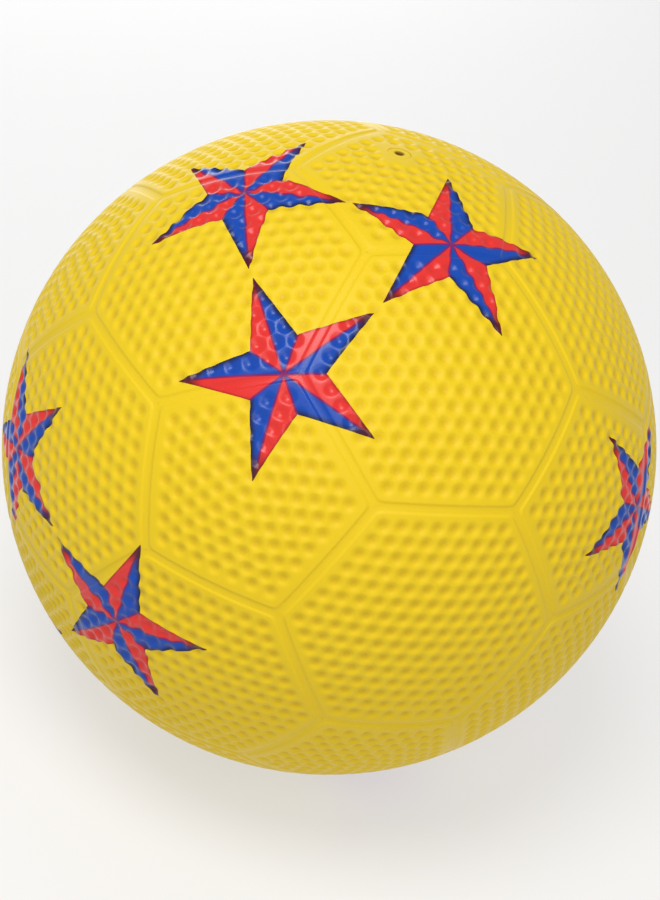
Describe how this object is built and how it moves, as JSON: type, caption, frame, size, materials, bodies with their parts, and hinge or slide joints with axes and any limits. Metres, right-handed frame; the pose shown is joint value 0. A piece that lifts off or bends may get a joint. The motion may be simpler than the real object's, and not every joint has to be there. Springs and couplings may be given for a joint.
{
  "type": "rubber play ball",
  "caption": "Hollow moulded rubber play ball with dimpled pentagon and hexagon cover panels, seam strips, wound carcass, bladder and a pull-out needle valve core.",
  "frame": {"origin": "centre of the ball", "axes": "+Z out of the inflating valve along its axis; the picture was taken from the -Y side, 30 degrees above the ball's equator"},
  "size_m": [0.22, 0.22, 0.22],
  "materials": {
    "cover_yellow": "semi-gloss dimpled yellow rubber",
    "star_red": "glossy red printed ink on the cover",
    "star_blue": "glossy blue printed ink on the cover",
    "carcass_rubber": "matt grey-black rubber sheet",
    "winding_nylon": "wound nylon thread set in latex",
    "bladder_rubber": "matt black butyl rubber",
    "valve_rubber": "matt rubber"
  },
  "bodies": {
    "ball": {"bladder": "bladder_rubber", "winding": "winding_nylon", "carcass": "carcass_rubber", "seam_strips": "cover_yellow", "valve_boot": "valve_rubber", "pent_panel_01": "cover_yellow", "pent_panel_02": "cover_yellow", "pent_panel_03": "cover_yellow", "pent_panel_04": "cover_yellow", "pent_panel_05": "cover_yellow", "pent_panel_06": "cover_yellow", "pent_panel_07": "cover_yellow", "pent_panel_08": "cover_yellow", "pent_panel_09": "cover_yellow", "pent_panel_10": "cover_yellow", "pent_panel_11": "cover_yellow", "pent_panel_12": "cover_yellow", "hex_panel_01": "cover_yellow", "hex_panel_02": "cover_yellow", "hex_panel_03": "cover_yellow", "hex_panel_04": "cover_yellow", "hex_panel_05": "cover_yellow", "hex_panel_06": "cover_yellow", "hex_panel_07": "cover_yellow", "hex_panel_08": "cover_yellow", "hex_panel_09": "cover_yellow", "hex_panel_10": "cover_yellow", "hex_panel_11": "cover_yellow", "hex_panel_12": "cover_yellow", "hex_panel_13": "cover_yellow", "hex_panel_14": "cover_yellow", "hex_panel_15": "cover_yellow", "hex_panel_16": "cover_yellow", "hex_panel_17": "cover_yellow", "hex_panel_18": "cover_yellow", "hex_panel_19": "cover_yellow", "hex_panel_20": "cover_yellow"},
    "valve_core": {"valve_core": "valve_rubber"}
  },
  "joints": [
    {"name": "core_pull", "type": "slide", "parent": "ball", "child": "valve_core", "axis": [0, 0, 1], "range_m": [0, 0.02]}
  ]
}
